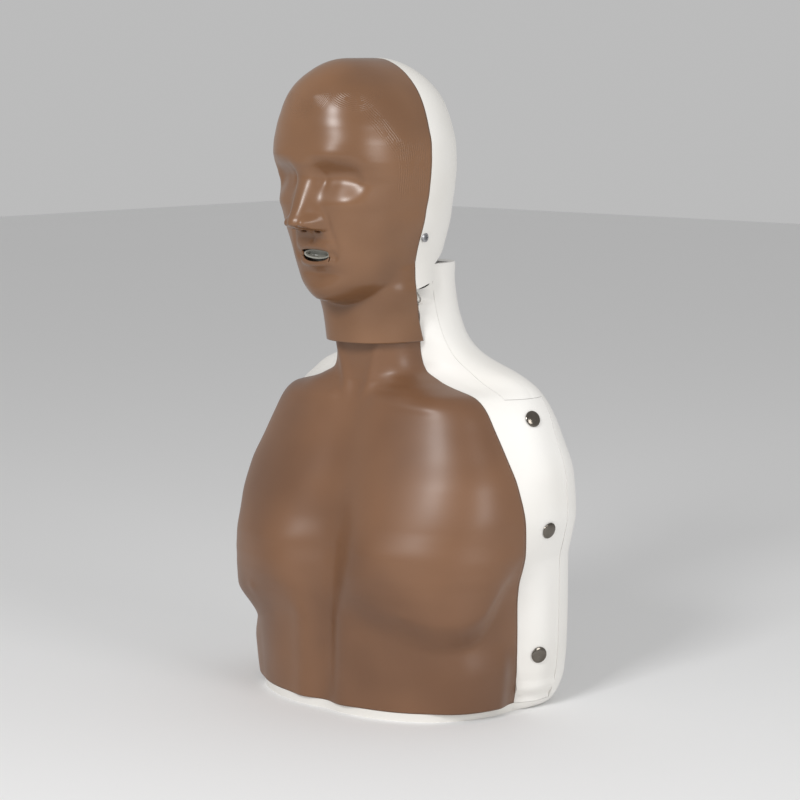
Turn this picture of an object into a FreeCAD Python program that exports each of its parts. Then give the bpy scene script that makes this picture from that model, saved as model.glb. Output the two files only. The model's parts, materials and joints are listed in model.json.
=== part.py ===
"""Upper-body resuscitation training mannequin: tilting head, sprung chest plate, press-studded cover.

Frame: +Z up along the body, the face looks along -Y, +X is the mannequin's left. The origin lies on the base
plane, in the middle of the width, on the parting plane between the front cover and the back shell. Millimetres.
"""
import FreeCAD, Part
import bisect
import math
import os
from FreeCAD import Vector, Placement, Rotation

doc = FreeCAD.newDocument("training_mannequin")
sheet = doc.addObject("Spreadsheet::Sheet", "Sizes")

SIZES = [
    ("clearance", 0.3, "gap between neighbouring pieces"),
    ("seat", 0.1, "gap between pieces that are screwed together"),
    ("running", 0.05, "radial clearance of pins, screws and the piston"),
    ("skin_wall", 2.5, "soft vinyl of the chest skin"),
    ("mask_wall", 3.0, "soft vinyl of the face mask"),
    ("cover_wall", 2.5, "white front cover"),
    ("shell_wall", 3.0, "rigid back shell and head shell"),
    ("width_scale", 1.0, "whole body across"),
    ("depth_scale", 1.0, "whole body front to back"),
    ("tray_rim", 8.0, "height of the white rim under the chest skin"),
    ("neck_top", 371.0, "upper edge of the chest skin's neck, under the mask"),
    ("collar_top", 407.5, "upper edge of the back shell's neck"),
    ("flap_reach", 30.0, "how far the side flaps reach behind the parting plane"),
    ("flap_top", 288.0, "upper end of a side flap"),
    ("stud_cap_radius", 7.6, "chromed cap of a press stud"),
    ("stud_cap_rise", 2.6, "chromed cap of a press stud"),
    ("stud_socket_radius", 6.2, "spring socket under the flap"),
    ("stud_place", 5.0, "press studs behind the parting plane"),
    ("stud_upper", 271.0, "height of the upper stud"),
    ("stud_middle", 171.0, "height of the middle stud"),
    ("stud_lower", 54.0, "height of the lower stud"),
    ("press_height", 165.0, "height of the compression point on the breastbone"),
    ("press_travel", 50.0, "depth of a full compression"),
    ("pad_face", 74.0, "mounting pad of the guide tube behind the parting plane"),
    ("tube_bore_radius", 25.0, "guide tube, inside"),
    ("tube_wall", 3.0, "guide tube"),
    ("tube_mouth", -39.0, "front end of the guide tube"),
    ("tube_floor", 22.0, "spring seat in the guide tube"),
    ("flange_size", 84.0, "square foot of the guide tube"),
    ("flange_thickness", 4.0, "square foot of the guide tube"),
    ("piston_radius", 22.5, "piston body"),
    ("piston_wall", 2.5, "piston body"),
    ("piston_front", -94.5, "front face of the piston"),
    ("collar_height", 4.0, "rear collar of the piston, held by the stop ring"),
    ("ring_lip", 3.0, "thickness of the stop ring's inner lip"),
    ("ring_depth", 12.0, "stop ring along the tube"),
    ("spring_radius", 16.5, "mean radius of the return spring"),
    ("spring_wire", 3.2, "wire of the return spring"),
    ("spring_turns", 11.0, "turns of the return spring"),
    ("rib_wall", 3.0, "rib plate"),
    ("bag_wall", 2.0, "lung bag, empty and flat"),
    ("axle_radius", 4.0, "neck axle"),
    ("axle_length", 79.0, "neck axle"),
    ("axle_y", -12.0, "neck axle"),
    ("axle_z", 412.0, "neck axle"),
    ("ear_radius", 11.0, "ears of the neck bracket and lugs of the head frame"),
    ("ear_inner", 20.0, "inner face of a bracket ear, from the middle"),
    ("ear_thickness", 7.0, "bracket ear"),
    ("lug_thickness", 7.0, "lug of the head frame"),
    ("washer_thickness", 1.4, "friction washer"),
    ("relief_angle", 27.0, "slope of the head shell's lower rear edge"),
    ("mask_edge", -50.0, "rear edge of the mask"),
    ("mouth_height", 420.5, "middle of the open mouth"),
    ("mouth_half_width", 17.5, "open mouth"),
    ("mouth_half_height", 5.5, "open mouth"),
    ("hose_radius", 8.0, "airway hose, outside"),
    ("hose_wall", 1.5, "airway hose"),
    ("side_screw_y", -44.5, "screw at each side of the head"),
    ("side_screw_z", 434.0, "screw at each side of the head"),
]
for row, (alias, value, note) in enumerate(SIZES, start=1):
    sheet.set(f"A{row}", str(value))
    sheet.setAlias(f"A{row}", alias)
    sheet.set(f"B{row}", note)
doc.recompute()
V = {alias: float(sheet.get(alias)) for alias, value, note in SIZES}

GAP, SEAT, RUN = V["clearance"], V["seat"], V["running"]
WIDE, DEEP = V["width_scale"], V["depth_scale"]
FAR = 600.0  # longer than any piece, for cutting blocks
pieces = {}


# ---------------------------------------------------------------- helpers
def publish(name, made):
    made.Label = name
    pieces[name] = made
    return made


def feature(name, shape):
    made = doc.addObject("Part::Feature", name)
    made.Shape = shape
    return publish(name, made)


def block(low, high):
    return Part.makeBox(high[0] - low[0], high[1] - low[1], high[2] - low[2], Vector(*low))


def rod(radius, start, end):
    """A round bar from start to end."""
    along = Vector(*end) - Vector(*start)
    return Part.makeCylinder(radius, along.Length, Vector(*start), along)


def tube(outer, inner, start, end):
    return rod(outer, start, end).cut(rod(inner, start, end))


def both_sides(shape):
    return Part.makeCompound([shape, shape.mirror(Vector(0, 0, 0), Vector(1, 0, 0))])


def smooth(a, b, value):
    share = min(1.0, max(0.0, (value - a) / (b - a)))
    return share * share * (3 - 2 * share)


def between(line, at):
    """Value of a rising line of (value, height) points at a height."""
    if at <= line[0][1]:
        return line[0][0]
    if at >= line[-1][1]:
        return line[-1][0]
    place = bisect.bisect_right([height for value, height in line], at)
    (v0, z0), (v1, z1) = line[place - 1], line[place]
    return v0 + (v1 - v0) * (at - z0) / (z1 - z0)


def inward(line, distance):
    """Moves a rising line of (value, height) points inwards by distance, square to the line."""
    moved = []
    for i, (value, height) in enumerate(line):
        before, after = line[max(i - 1, 0)], line[min(i + 1, len(line) - 1)]
        dv, dh = after[0] - before[0], after[1] - before[1]
        length = math.hypot(dv, dh)
        point = (value - distance * dh / length, height + distance * dv / length)
        if not moved or point[1] > moved[-1][1] + 0.01:
            moved.append(point)
    return moved


def eased(rows):
    """A fine line through (value, height) rows that never swings past them."""
    slopes = []
    for i in range(len(rows)):
        if i in (0, len(rows) - 1):
            pair = rows[:2] if i == 0 else rows[-2:]
            slopes.append((pair[1][0] - pair[0][0]) / (pair[1][1] - pair[0][1]))
            continue
        left = (rows[i][0] - rows[i - 1][0]) / (rows[i][1] - rows[i - 1][1])
        right = (rows[i + 1][0] - rows[i][0]) / (rows[i + 1][1] - rows[i][1])
        slopes.append(2 * left * right / (left + right) if left * right > 0 else 0.0)
    fine = []
    for (v0, z0), (v1, z1), s0, s1 in zip(rows, rows[1:], slopes, slopes[1:]):
        run = z1 - z0
        steps = max(2, round(run))
        for k in range(steps):
            t = k / steps
            fine.append((v0 * (1 + 2 * t) * (1 - t) ** 2 + s0 * run * t * (1 - t) ** 2
                         + v1 * t * t * (3 - 2 * t) + s1 * run * t * t * (t - 1), z0 + run * t))
    return fine + [rows[-1]]


def shares_of(points):
    """Share of the run of a line at each of its points."""
    run = [0.0]
    for a, b in zip(points, points[1:]):
        run.append(run[-1] + (Vector(*b) - Vector(*a)).Length)
    return [value / run[-1] for value in run]


def loft_sections(sections, ruled=False):
    """Solid through closed sections; a section is a list of edges and an edge is a list of points."""
    settings = []
    for k, edge in enumerate(sections[0]):
        runs = [shares_of(section[k]) for section in sections]
        settings.append([sum(values) / len(runs) for values in zip(*runs)] if len(edge) > 2 else None)
    wires = []
    for section in sections:
        edges = []
        for points, setting in zip(section, settings):
            corners = [Vector(*p) for p in points]
            if setting is None:
                edges.append(Part.LineSegment(*corners).toShape())
            else:
                curve = Part.BSplineCurve()
                curve.interpolate(Points=corners, Parameters=setting)
                edges.append(curve.toShape())
        wires.append(Part.Wire(edges))
    return Part.makeLoft(wires, True, ruled)


def flip(points):
    return [(-x, y) for x, y in reversed(points)]


def at_height(points, z):
    return [(x, y, z) for x, y in points]


# ---------------------------------------------------------------- form of the chest
# height, half width at the skin's edge, front of the muscle, depth and half width of the middle valley
CHEST = [
    (0.0, 134.0, 118.0, 3.0, 14.0),
    (9.0, 137.2, 119.0, 3.0, 14.0),
    (34.0, 141.5, 118.0, 5.0, 14.0),
    (78.0, 145.0, 119.0, 8.0, 15.0),
    (104.0, 146.5, 125.0, 13.5, 22.0),
    (122.0, 149.5, 131.0, 21.0, 29.0),
    (136.0, 154.5, 133.5, 24.5, 33.0),
    (152.0, 159.0, 134.0, 27.0, 36.0),
    (178.0, 160.5, 125.0, 22.0, 38.0),
    (212.0, 153.5, 112.0, 13.0, 36.0),
    (240.0, 140.5, 99.0, 9.0, 32.0),
    (262.0, 129.0, 91.0, 7.0, 30.0),
    (280.0, 119.0, 83.0, 5.0, 26.0),
    (290.0, 107.0, 77.0, 3.0, 24.0),
    (296.0, 84.0, 73.0, 1.0, 20.0),
    (302.0, 62.0, 71.0, 0.5, 20.0),
    (311.0, 48.0, 71.0, 0.0, 20.0),
    (330.0, 43.6, 73.0, 0.0, 20.0),
    (350.0, 43.4, 75.0, 0.0, 20.0),
    (372.0, 43.6, 76.0, 0.0, 20.0),
    (394.0, 45.0, 77.0, 0.0, 20.0),
]
CHEST_POWER = 2.5
CHEST_SHARES = [0.0, 0.11, 0.23, 0.37, 0.52, 0.66, 0.78, 0.88, 0.95, 0.985, 1.0]

# height, half width at the widest place, depth behind the parting plane, squareness of the back
BACK = [
    (0.0, 138.0, 62.0, 3.4),
    (3.0, 143.5, 68.0, 3.4),
    (8.0, 147.0, 73.0, 3.4),
    (14.0, 149.5, 76.5, 3.4),
    (28.0, 154.0, 80.0, 3.4),
    (55.0, 157.4, 80.0, 3.4),
    (91.0, 158.5, 80.0, 3.4),
    (140.0, 158.7, 80.0, 3.4),
    (159.0, 163.0, 80.0, 3.4),
    (182.0, 167.7, 80.0, 3.4),
    (217.0, 165.4, 80.0, 3.3),
    (252.0, 154.0, 76.0, 3.1),
    (275.0, 145.5, 70.0, 2.9),
    (290.0, 136.0, 63.0, 2.8),
    (303.0, 122.0, 55.0, 2.6),
    (312.0, 102.0, 51.0, 2.5),
    (321.0, 79.0, 47.5, 2.5),
    (334.5, 62.5, 44.0, 2.5),
    (350.0, 53.5, 40.0, 2.6),
    (370.0, 47.5, 36.5, 2.6),
    (394.0, 44.5, 34.5, 2.6),
    (407.5, 44.0, 34.0, 2.6),
]
BACK_SHARES = [1.0, 0.985, 0.94, 0.86, 0.74, 0.58, 0.4, 0.2, 0.0]
SIDE_STEPS = [0.0, 0.2, 0.4, 0.6, 0.8, 1.0]


def skin_edge(z):
    """The chest skin ends on a plane that leans a little forward towards the shoulders."""
    return (-8.0 - 0.075 * z) * DEEP


def parting(z):
    return (6.0 - 0.06 * z) * DEEP


def widest(z):
    """Where the level is widest: behind the parting plane on the torso, ahead of it on the neck."""
    return (15.0 - 20.0 * smooth(292, 345, z)) * DEEP


columns = {}


def column(table, index, scale, depth):
    """One value of a table against height, moved inwards by a depth."""
    key = (id(table), index, depth)
    if key not in columns:
        columns[key] = inward(eased([(row[index] * scale, row[0]) for row in table]), depth)
    return columns[key]


def chest_half(z, depth):
    """Level of the chest from the middle to the skin's edge, at a depth inside the surface."""
    half_width = between(column(CHEST, 1, WIDE, depth), z)
    front = between(column(CHEST, 2, DEEP, depth), z)
    valley = between(column(CHEST, 3, DEEP, 0), z)
    spread = between(column(CHEST, 4, WIDE, 0), z)
    rear = skin_edge(z)
    half = []
    for share in CHEST_SHARES:
        bulge = (1 - share ** CHEST_POWER) ** (1 / CHEST_POWER)
        dent = valley * math.exp(-((share * half_width / spread) ** 2)) * (1 - smooth(0.6, 1.0, share))
        half.append((share * half_width, rear - (front + rear) * bulge + dent))
    return half


def side_half(z, depth, start, end):
    """Level of the side from start to end along y, at a depth inside the surface."""
    edge_width = between(column(CHEST, 1, WIDE, depth), z)
    full_width = max(between(column(BACK, 1, WIDE, depth), z), edge_width)
    back = between(column(BACK, 2, DEEP, depth), z)
    power = between(column(BACK, 3, 1, 0), z)
    points = []
    for step in SIDE_STEPS:
        y = start + (end - start) * step
        if y < widest(z):
            turn = max(0.0, (y - skin_edge(z)) / (widest(z) - skin_edge(z)))
            x = edge_width + (full_width - edge_width) * math.sin(turn * math.pi / 2)
        else:
            x = full_width * max(0.0, 1 - ((y - widest(z)) / (back - widest(z))) ** power) ** (1 / power)
        points.append((x, y))
    return points


def back_half(z, depth):
    """Level of the back from the widest place to the middle."""
    full_width = max(between(column(BACK, 1, WIDE, depth), z), between(column(CHEST, 1, WIDE, depth), z))
    back = between(column(BACK, 2, DEEP, depth), z)
    power = between(column(BACK, 3, 1, 0), z)
    return [(share * full_width, widest(z) + (back - widest(z)) * (1 - share ** power) ** (1 / power))
            for share in BACK_SHARES]


def mirrored_front(z, depth):
    half = chest_half(z, depth)
    return flip(half)[:-1] + half


def chest_solid(depth, heights, reach=0.0):
    """Everything between the chest surface at a depth and the skin's edge plane moved back by reach."""
    sections = []
    for z in heights:
        front = mirrored_front(z, depth)
        rear = skin_edge(z) + reach
        right, left = (front[-1][0], rear), (front[0][0], rear)
        closing = ([front[-1], right], [right, left], [left, front[0]]) if reach else ([front[-1], front[0]],)
        sections.append([at_height(part, z) for part in (front, *closing)])
    return loft_sections(sections)


def back_solid(depth, heights, lead):
    """The body behind a plane that lies lead behind the skin's edge."""
    sections = []
    for z in heights:
        side = side_half(z, depth, skin_edge(z) + lead, widest(z))
        back = back_half(z, depth)
        back = back + flip(back)[1:]
        left = flip(side)
        sections.append([at_height(part, z) for part in (side, back, left, [left[-1], side[0]])])
    return loft_sections(sections)


def whole_solid(depth, heights):
    """Front and back together as one closed level."""
    sections = []
    for z in heights:
        front = mirrored_front(z, depth)
        side = side_half(z, depth, skin_edge(z), widest(z))
        back = back_half(z, depth)
        back = back + flip(back)[1:]
        sections.append([at_height(part, z) for part in (front, side, back, flip(side))])
    return loft_sections(sections)


def stepped_solid(front_depth, side_depth, step_back, rear_extra, heights):
    """The front at one depth and the sides, from a step behind the skin's edge on, at another."""
    sections = []
    for z in heights:
        front = mirrored_front(z, front_depth)
        step_y = skin_edge(z) + step_back
        reach = min(V["flap_reach"] * DEEP, 0.6 * between(column(BACK, 2, DEEP, 0), z)) + rear_extra
        side = side_half(z, side_depth, step_y, reach)
        x = front[-1][0]
        sections.append([at_height(part, z) for part in (
            front, [front[-1], (x, step_y)], [(x, step_y), side[0]], side, [side[-1], flip(side)[0]],
            flip(side), [flip(side)[-1], (-x, step_y)], [(-x, step_y), front[0]])])
    return loft_sections(sections)


def largest(shape):
    """The one body of a shape, without the crumbs a cut may leave beside it."""
    return max(shape.Solids, key=lambda solid: solid.Volume)


def levels(low, high, spacing=9.0):
    count = max(1, round((high - low) / spacing))
    return [low + (high - low) * k / count for k in range(count + 1)]


def prism(points, y_low, y_high):
    """A flat outline in x and z, run along Y."""
    corners = [Vector(x, y_low, z) for x, z in points]
    return Part.Face(Part.makePolygon(corners + corners[:1])).extrude(Vector(0, y_high - y_low, 0))


def side_prism(points, x_low, x_high):
    """A flat outline in y and z, run along X."""
    corners = [Vector(x_low, y, z) for y, z in points]
    return Part.Face(Part.makePolygon(corners + corners[:1])).extrude(Vector(x_high - x_low, 0, 0))


def rounded(half_low, half_high, low, high, corner):
    """A four-sided outline in x and z with rounded corners."""
    points = []
    for x, z, start in ((half_low, low, -90), (half_high, high, 0),
                        (-half_high, high, 90), (-half_low, low, 180)):
        cx = x - math.copysign(corner, x)
        cz = z + corner if z == low else z - corner
        for step in range(0, 91, 15):
            angle = math.radians(start + step)
            points.append((cx + corner * math.cos(angle), cz + corner * math.sin(angle)))
    return points


# ---------------------------------------------------------------- back shell
RIM, TOP = V["tray_rim"], V["collar_top"]
FLAP_DEPTH = V["cover_wall"] + GAP            # the back shell's sides lie this deep under the flaps
TONGUE = FLAP_DEPTH + V["shell_wall"]
LEAD = 4.0                                    # the shell's sides start this far behind the skin's edge
inner_heights = levels(V["shell_wall"], TOP - V["shell_wall"])
LOW = RIM + GAP                               # lower edge of the chest skin and the cover
BODY_LEVELS = levels(LOW - 9, TOP - 8)        # one set for every shell of the front, so that their gap is even
INNER_LEVELS = levels(LOW - 5, TOP - 4)       # and one for the cover's inner face and the shell behind it
UNDER = V["skin_wall"] + GAP                  # the cover's front lies this deep under the skin

shell = whole_solid(0, [0.0, 3.0] + levels(RIM, TOP))
start = skin_edge(RIM) + LEAD
shell = shell.cut(side_prism([(-FAR, RIM), (start, RIM), (start + skin_edge(FAR) - skin_edge(RIM), FAR),
                              (-FAR, FAR)], -FAR, FAR))
flap_zone = block((-FAR, -FAR, RIM), (FAR, V["flap_reach"] * DEEP + GAP, V["flap_top"] + GAP))
under_flap = stepped_solid(UNDER + V["cover_wall"], FLAP_DEPTH, LEAD - GAP, 3, INNER_LEVELS)
shell = shell.cut(flap_zone.cut(under_flap))
front_of_parting = side_prism(
    [(-FAR, V["flap_top"] + GAP), (parting(V["flap_top"]), V["flap_top"] + GAP),
     (parting(TOP), TOP + 5), (-FAR, TOP + 5)], -FAR, FAR)
shell = shell.cut(front_of_parting)
tray_inside = whole_solid(V["shell_wall"] + 0.5, [V["shell_wall"], RIM + 1]).common(
    block((-FAR, -FAR, 0), (FAR, 20 * DEEP, FAR)))
step = V["flap_reach"] * DEEP + 2 * V["shell_wall"]
core_front = back_solid(TONGUE, levels(V["shell_wall"], V["flap_top"] + GAP), 0.5)
core_back = back_solid(V["shell_wall"], inner_heights, 0.5)
core_back = core_back.cut(block((-FAR, -FAR, 0), (FAR, step, V["flap_top"] + V["shell_wall"])))
shell = shell.cut(tray_inside).cut(core_front).cut(core_back)
shell = shell.cut(block((-38.5, -FAR, TOP - 8), (38.5, 12 * DEEP, TOP + 5)))  # room for the neck joint

PH, PAD = V["press_height"], V["pad_face"] * DEEP
half_foot = V["flange_size"] / 2
tube_pad = block((-half_foot - 4, PAD, PH - half_foot - 4), (half_foot + 4, 79 * DEEP, PH + half_foot + 4))
neck_pad_face = 9.0 * DEEP
EAR_OUT = V["ear_inner"] + V["ear_thickness"]
neck_pad = block((-EAR_OUT - 1, neck_pad_face, 338), (EAR_OUT + 1, FAR, 396)).common(
    back_solid(1.0, levels(300, TOP), LEAD))
shell = shell.fuse(tube_pad).fuse(neck_pad)

foot_corners = [(x, PH + z) for x in (-34, 34) for z in (-34, 34)]
for x, z in foot_corners:
    shell = shell.cut(rod(2 + RUN, (x, PAD - 1, z), (x, PAD + 4.5, z)))
neck_screw_heights = (348, 374)
for z in neck_screw_heights:
    shell = shell.cut(rod(2 + RUN, (0, neck_pad_face - 1, z), (0, neck_pad_face + 6, z)))


# ---------------------------------------------------------------- press studs, three on each side
def stud_frame(z):
    """Point on the flap's surface and the direction square to it, on the mannequin's left."""
    y = V["stud_place"] * DEEP
    reach = 3.0

    def across(at_y, at_z):
        return side_half(at_z, 0, at_y, widest(at_z))[0][0]
    slope_y = (across(y + reach, z) - across(y - reach, z)) / (2 * reach)
    slope_z = (across(y, z + reach) - across(y, z - reach)) / (2 * reach)
    return Vector(across(y, z), y, z), Vector(1, -slope_y, -slope_z).normalize()


def turned(profile, centre, direction):
    """A body of revolution from (radius, height) points, its height pointing along direction."""
    corners = [Vector(r, 0, h) for r, h in profile]
    body = Part.Face(Part.makePolygon(corners + corners[:1])).revolve(Vector(0, 0, 0), Vector(0, 0, 1), 360)
    body.Placement = Placement(centre, Rotation(Vector(0, 0, 1), direction))
    return body


cap_r, rise, socket_r = V["stud_cap_radius"], V["stud_cap_rise"], V["stud_socket_radius"]
dome = [(cap_r * math.cos(math.radians(a)), 0.7 + (rise - 0.7) * math.sin(math.radians(a)))
        for a in range(0, 90, 10)]
CAP = [(0, -2.9), (1.9, -2.9), (1.9, 0.2), (cap_r - 0.8, 0.2), (cap_r, 0.7)] + dome[1:] + [(0, rise)]
SOCKET = [(3.1, -5.2), (socket_r, -5.2), (socket_r, -2.6), (2.2, -2.6), (2.2, -3.3), (3.1, -3.3)]
POST = [(0, -7.8), (9.0, -7.8), (9.0, -6.3), (2.9, -6.3), (2.9, -4.2), (2.3, -3.6), (0, -3.6)]
caps, sockets, posts, flap_holes = [], [], [], []
for z in (V["stud_upper"], V["stud_middle"], V["stud_lower"]):
    centre, direction = stud_frame(z)
    for profile, group in ((CAP, caps), (SOCKET, sockets), (POST, posts)):
        group.append(both_sides(turned(profile, centre, direction)))
    hole = rod(socket_r + 0.5, centre - direction * 9, centre - direction * 2.55)
    flap_holes.append(both_sides(rod(1.9 + RUN, centre - direction * 4, centre + direction * 2)))
    shell = shell.cut(both_sides(hole))
feature("back_shell", largest(shell))


def trimmed(shape, tool):
    """A piece shaped to the curved wall that it sits on, without slivers."""
    return Part.makeCompound([solid for solid in shape.cut(tool).Solids if solid.Volume > 1])


posts = [trimmed(pair, shell) for pair in posts]
for name, group in (("stud_caps", caps), ("stud_sockets", sockets), ("stud_posts", posts)):
    feature(name, Part.makeCompound([solid for pair in group for solid in pair.Solids]))

# ---------------------------------------------------------------- chest skin and chest cover
SKIN, COVER = V["skin_wall"], V["cover_wall"]
skin = chest_solid(0, BODY_LEVELS).common(block((-FAR, -FAR, LOW), (FAR, FAR, V["neck_top"])))
skin = skin.cut(chest_solid(SKIN, BODY_LEVELS, 3))
feature("chest_skin", skin)

cover = stepped_solid(UNDER, 0, GAP, 0, BODY_LEVELS).common(block((-FAR, -FAR, LOW), (FAR, FAR, 394)))
cover = cover.cut(stepped_solid(UNDER + COVER, COVER, LEAD - GAP, 3, INNER_LEVELS))
behind_parting = side_prism(
    [(FAR, V["flap_top"]), (parting(V["flap_top"]) - GAP, V["flap_top"]),
     (parting(TOP) - GAP, TOP + 5), (FAR, TOP + 5)], -FAR, FAR)
above_neck = side_prism(                        # the skin's neck stands free in front, the collar behind it
    [(-FAR, 345), (-46 * DEEP, 345), (-34.3 * DEEP, 350.5), (-34.3 * DEEP, V["neck_top"] + 0.6),
     (-52 * DEEP, V["neck_top"] + 0.6), (-52 * DEEP, 385.4), (-17 * DEEP, 392.9),
     (FAR, 392.9), (FAR, FAR), (-FAR, FAR)], -FAR, FAR)
OPEN_LOW, OPEN_HIGH = 62.0, 246.0
opening = prism(rounded(90 * WIDE, 86 * WIDE, OPEN_LOW, OPEN_HIGH, 30), -FAR, -20 * DEEP)
cover = cover.cut(behind_parting).cut(above_neck).cut(opening)
for holes in flap_holes:
    cover = cover.cut(holes)
feature("chest_cover", largest(cover))
pieces["stud_sockets"].Shape = trimmed(pieces["stud_sockets"].Shape, cover)

# ---------------------------------------------------------------- rib plate, lung bag and piston
RIB_OUT = UNDER + V["bag_wall"] + GAP
PF = V["piston_front"] * DEEP
rib_outline = prism(rounded(88.5 * WIDE, 84.5 * WIDE, OPEN_LOW + 1.5, OPEN_HIGH - 1.5, 28.5), -FAR, 0)
ribs = chest_solid(RIB_OUT, BODY_LEVELS, 20).common(rib_outline)
ribs = ribs.cut(chest_solid(RIB_OUT + V["rib_wall"], BODY_LEVELS, 23))
boss = rod(27, (0, PF - SEAT, PH), (0, -FAR, PH)).common(chest_solid(RIB_OUT + 1, BODY_LEVELS, 40))
ribs = ribs.fuse(boss).cut(rod(26.9, (0, PF - SEAT, PH), (0, FAR, PH)))
piston_screw_spots = [(13 * math.cos(math.radians(a)), PH + 13 * math.sin(math.radians(a)))
                      for a in (90, 210, 330)]
for x, z in piston_screw_spots:
    ribs = ribs.cut(rod(1.5 + RUN, (x, PF + 1, z), (x, PF - 2.5, z)))
feature("rib_plate", ribs.removeSplitter())

bag_outline = prism(rounded(62 * WIDE, 56 * WIDE, 96, 238, 22), -FAR, 0)
bag = chest_solid(UNDER, BODY_LEVELS, 20).common(bag_outline)
bag = bag.cut(chest_solid(UNDER + V["bag_wall"], BODY_LEVELS, 23))
PORT_Z = 226.0
bag = bag.cut(rod(5.0, (0, -FAR, PORT_Z), (0, 0, PORT_Z)))
feature("lung_bag", bag)

# ---------------------------------------------------------------- compression unit
BORE, WALL, MOUTH, FLOOR = V["tube_bore_radius"], V["tube_wall"], V["tube_mouth"] * DEEP, V["tube_floor"] * DEEP
FOOT = PAD - SEAT


def primitive_tube(name):
    """The guide tube: square foot, pedestal and bored barrel, made from primitives that follow the sheet."""
    foot = doc.addObject("Part::Box", name + "_foot")
    foot.setExpression("Length", "Sizes.flange_size * 1mm")
    foot.setExpression("Width", "Sizes.flange_thickness * 1mm")
    foot.setExpression("Height", "Sizes.flange_size * 1mm")
    foot.Placement = Placement(Vector(-half_foot, FOOT - V["flange_thickness"], PH - half_foot), Rotation())
    barrel = doc.addObject("Part::Cylinder", name + "_barrel")
    barrel.setExpression("Radius", "(Sizes.tube_bore_radius + Sizes.tube_wall) * 1mm")
    barrel.Height = FOOT - 1 - MOUTH
    bore = doc.addObject("Part::Cylinder", name + "_bore")
    bore.setExpression("Radius", "Sizes.tube_bore_radius * 1mm")
    bore.Height = FLOOR - MOUTH + 1
    for cylinder, y in ((barrel, MOUTH), (bore, MOUTH - 1)):
        cylinder.Placement = Placement(Vector(0, y, PH), Rotation(Vector(0, 0, 1), Vector(0, 1, 0)))
    joined = doc.addObject("Part::MultiFuse", name + "_joined")
    joined.Shapes = [foot, barrel]
    bored = doc.addObject("Part::Cut", name + "_bored")
    bored.Base, bored.Tool = joined, bore
    return bored


raw_tube = primitive_tube("tube")
screw_holes = []
for i, (x, z) in enumerate(foot_corners):
    hole = doc.addObject("Part::Cylinder", f"foot_hole_{i}")
    hole.Radius, hole.Height = 2 + RUN, 8
    hole.Placement = Placement(Vector(x, FOOT - 6, z), Rotation(Vector(0, 0, 1), Vector(0, 1, 0)))
    screw_holes.append(hole)
leaf_x = BORE + WALL
leaf_hole = doc.addObject("Part::Cylinder", "leaf_hole")
leaf_hole.Radius, leaf_hole.Height = 1.5 + RUN, 2.4
leaf_hole.Placement = Placement(Vector(leaf_x - 2.4, 40 * DEEP, PH), Rotation(Vector(0, 0, 1), Vector(1, 0, 0)))
all_holes = doc.addObject("Part::MultiFuse", "guide_tube_holes")
all_holes.Shapes = screw_holes + [leaf_hole]
guide = doc.addObject("Part::Cut", "guide_tube")
guide.Base, guide.Tool = raw_tube, all_holes
publish("guide_tube", guide)


def pan_screw(head_radius, head_height, shank_radius, length, seat_point, direction):
    """A pan-head screw with a cross recess; its shank points along direction."""
    body = turned([(0, length), (shank_radius, length), (shank_radius, 0), (head_radius, 0),
                   (head_radius, -head_height * 0.6), (head_radius * 0.7, -head_height), (0, -head_height)],
                  Vector(0, 0, 0), Vector(0, 0, 1))
    for wide, narrow in ((head_radius * 0.5, 0.5), (0.5, head_radius * 0.5)):
        body = body.cut(block((-wide, -narrow, -head_height - 1), (wide, narrow, -head_height * 0.4)))
    body.Placement = Placement(Vector(*seat_point), Rotation(Vector(0, 0, 1), Vector(*direction)))
    return body


foot_face = FOOT - V["flange_thickness"]
feature("guide_screws", Part.makeCompound(
    [pan_screw(4, 2.6, 2, 8, (x, foot_face - RUN, z), (0, 1, 0)) for x, z in foot_corners]))

ring = tube(BORE + WALL + 2.5, BORE + WALL + RUN, (0, MOUTH, PH), (0, MOUTH + V["ring_depth"], PH))
lip = tube(BORE + WALL + 2.5, V["piston_radius"] + RUN, (0, MOUTH - V["ring_lip"], PH), (0, MOUTH - SEAT, PH))
ring = ring.fuse(tube(BORE + WALL + 2.5, BORE + WALL + RUN, (0, MOUTH - 1, PH), (0, MOUTH + 1, PH)))
feature("stop_ring", ring.fuse(lip).removeSplitter())

PR, PW = V["piston_radius"], V["piston_wall"]
collar_front = MOUTH + SEAT
piston_end = collar_front + V["collar_height"]
piston = rod(PR, (0, PF, PH), (0, piston_end, PH)).fuse(
    rod(BORE - RUN, (0, collar_front, PH), (0, piston_end, PH)))
piston = piston.cut(rod(PR - PW, (0, PF + PW, PH), (0, FAR, PH)))
for x, z in piston_screw_spots:
    piston = piston.cut(rod(1.5 + RUN, (x, PF - 1, z), (x, PF + PW + 1, z)))
feature("piston", piston)
feature("piston_screws", Part.makeCompound(
    [pan_screw(2.8, 1.8, 1.5, PW + 1.8, (x, PF + PW + RUN, z), (0, -1, 0)) for x, z in piston_screw_spots]))

spring_start, spring_end = PF + PW + 2.6, FLOOR - 0.3
coil_start, coil_end = spring_start + V["spring_wire"] / 2, spring_end - V["spring_wire"] / 2
pitch = (coil_end - coil_start) / V["spring_turns"]
helix = Part.makeHelix(pitch, coil_end - coil_start, V["spring_radius"])
wire_section = Part.Wire(Part.makeCircle(
    V["spring_wire"] / 2, Vector(V["spring_radius"], 0, 0), Vector(0, 1, 0)))
coil = Part.Wire(helix).makePipeShell([wire_section], True, True)
coil.Placement = Placement(Vector(0, coil_start, PH), Rotation(Vector(0, 0, 1), Vector(0, 1, 0)))
feature("compression_spring", coil)

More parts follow.
